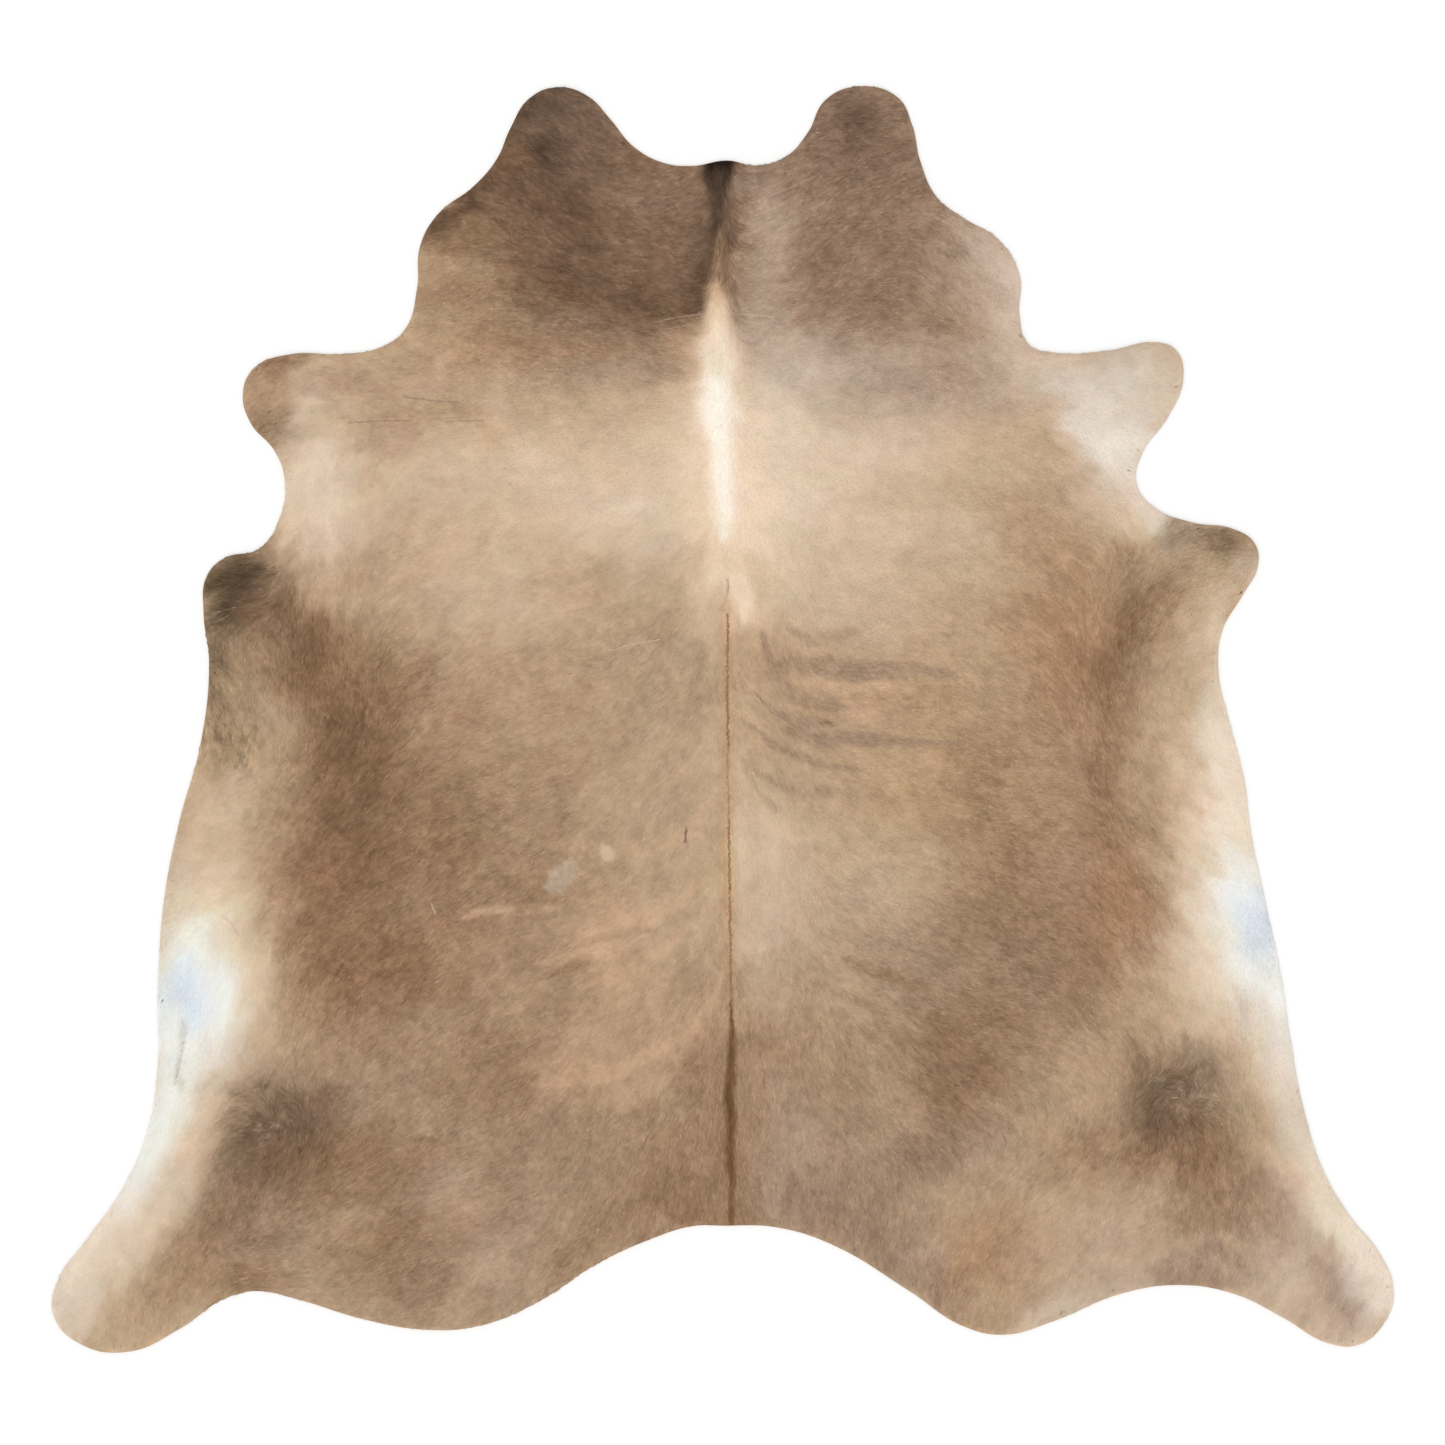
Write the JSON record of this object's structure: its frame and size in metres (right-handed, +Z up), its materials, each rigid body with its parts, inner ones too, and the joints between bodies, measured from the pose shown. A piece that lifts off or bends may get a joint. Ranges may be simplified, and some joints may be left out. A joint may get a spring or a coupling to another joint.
{
  "type": "cowhide rug",
  "caption": "Whole cowhide with its hair on, laid flat as a floor rug, trimmed to the natural outline of neck, legs, belly and rump.",
  "frame": {"origin": "on the underside, under the middle of the hide's width and length", "axes": "+Z up out of the coat, +Y along the spine towards the neck, +X to the right when the coat faces up and the neck points away"},
  "size_m": [2.2137, 2.0893, 0.0068],
  "materials": {
    "hair_on_hide": "short lying hair, matt with a soft sheen, suede underneath"
  },
  "bodies": {
    "root": {"hide": "hair_on_hide"}
  },
  "joints": []
}
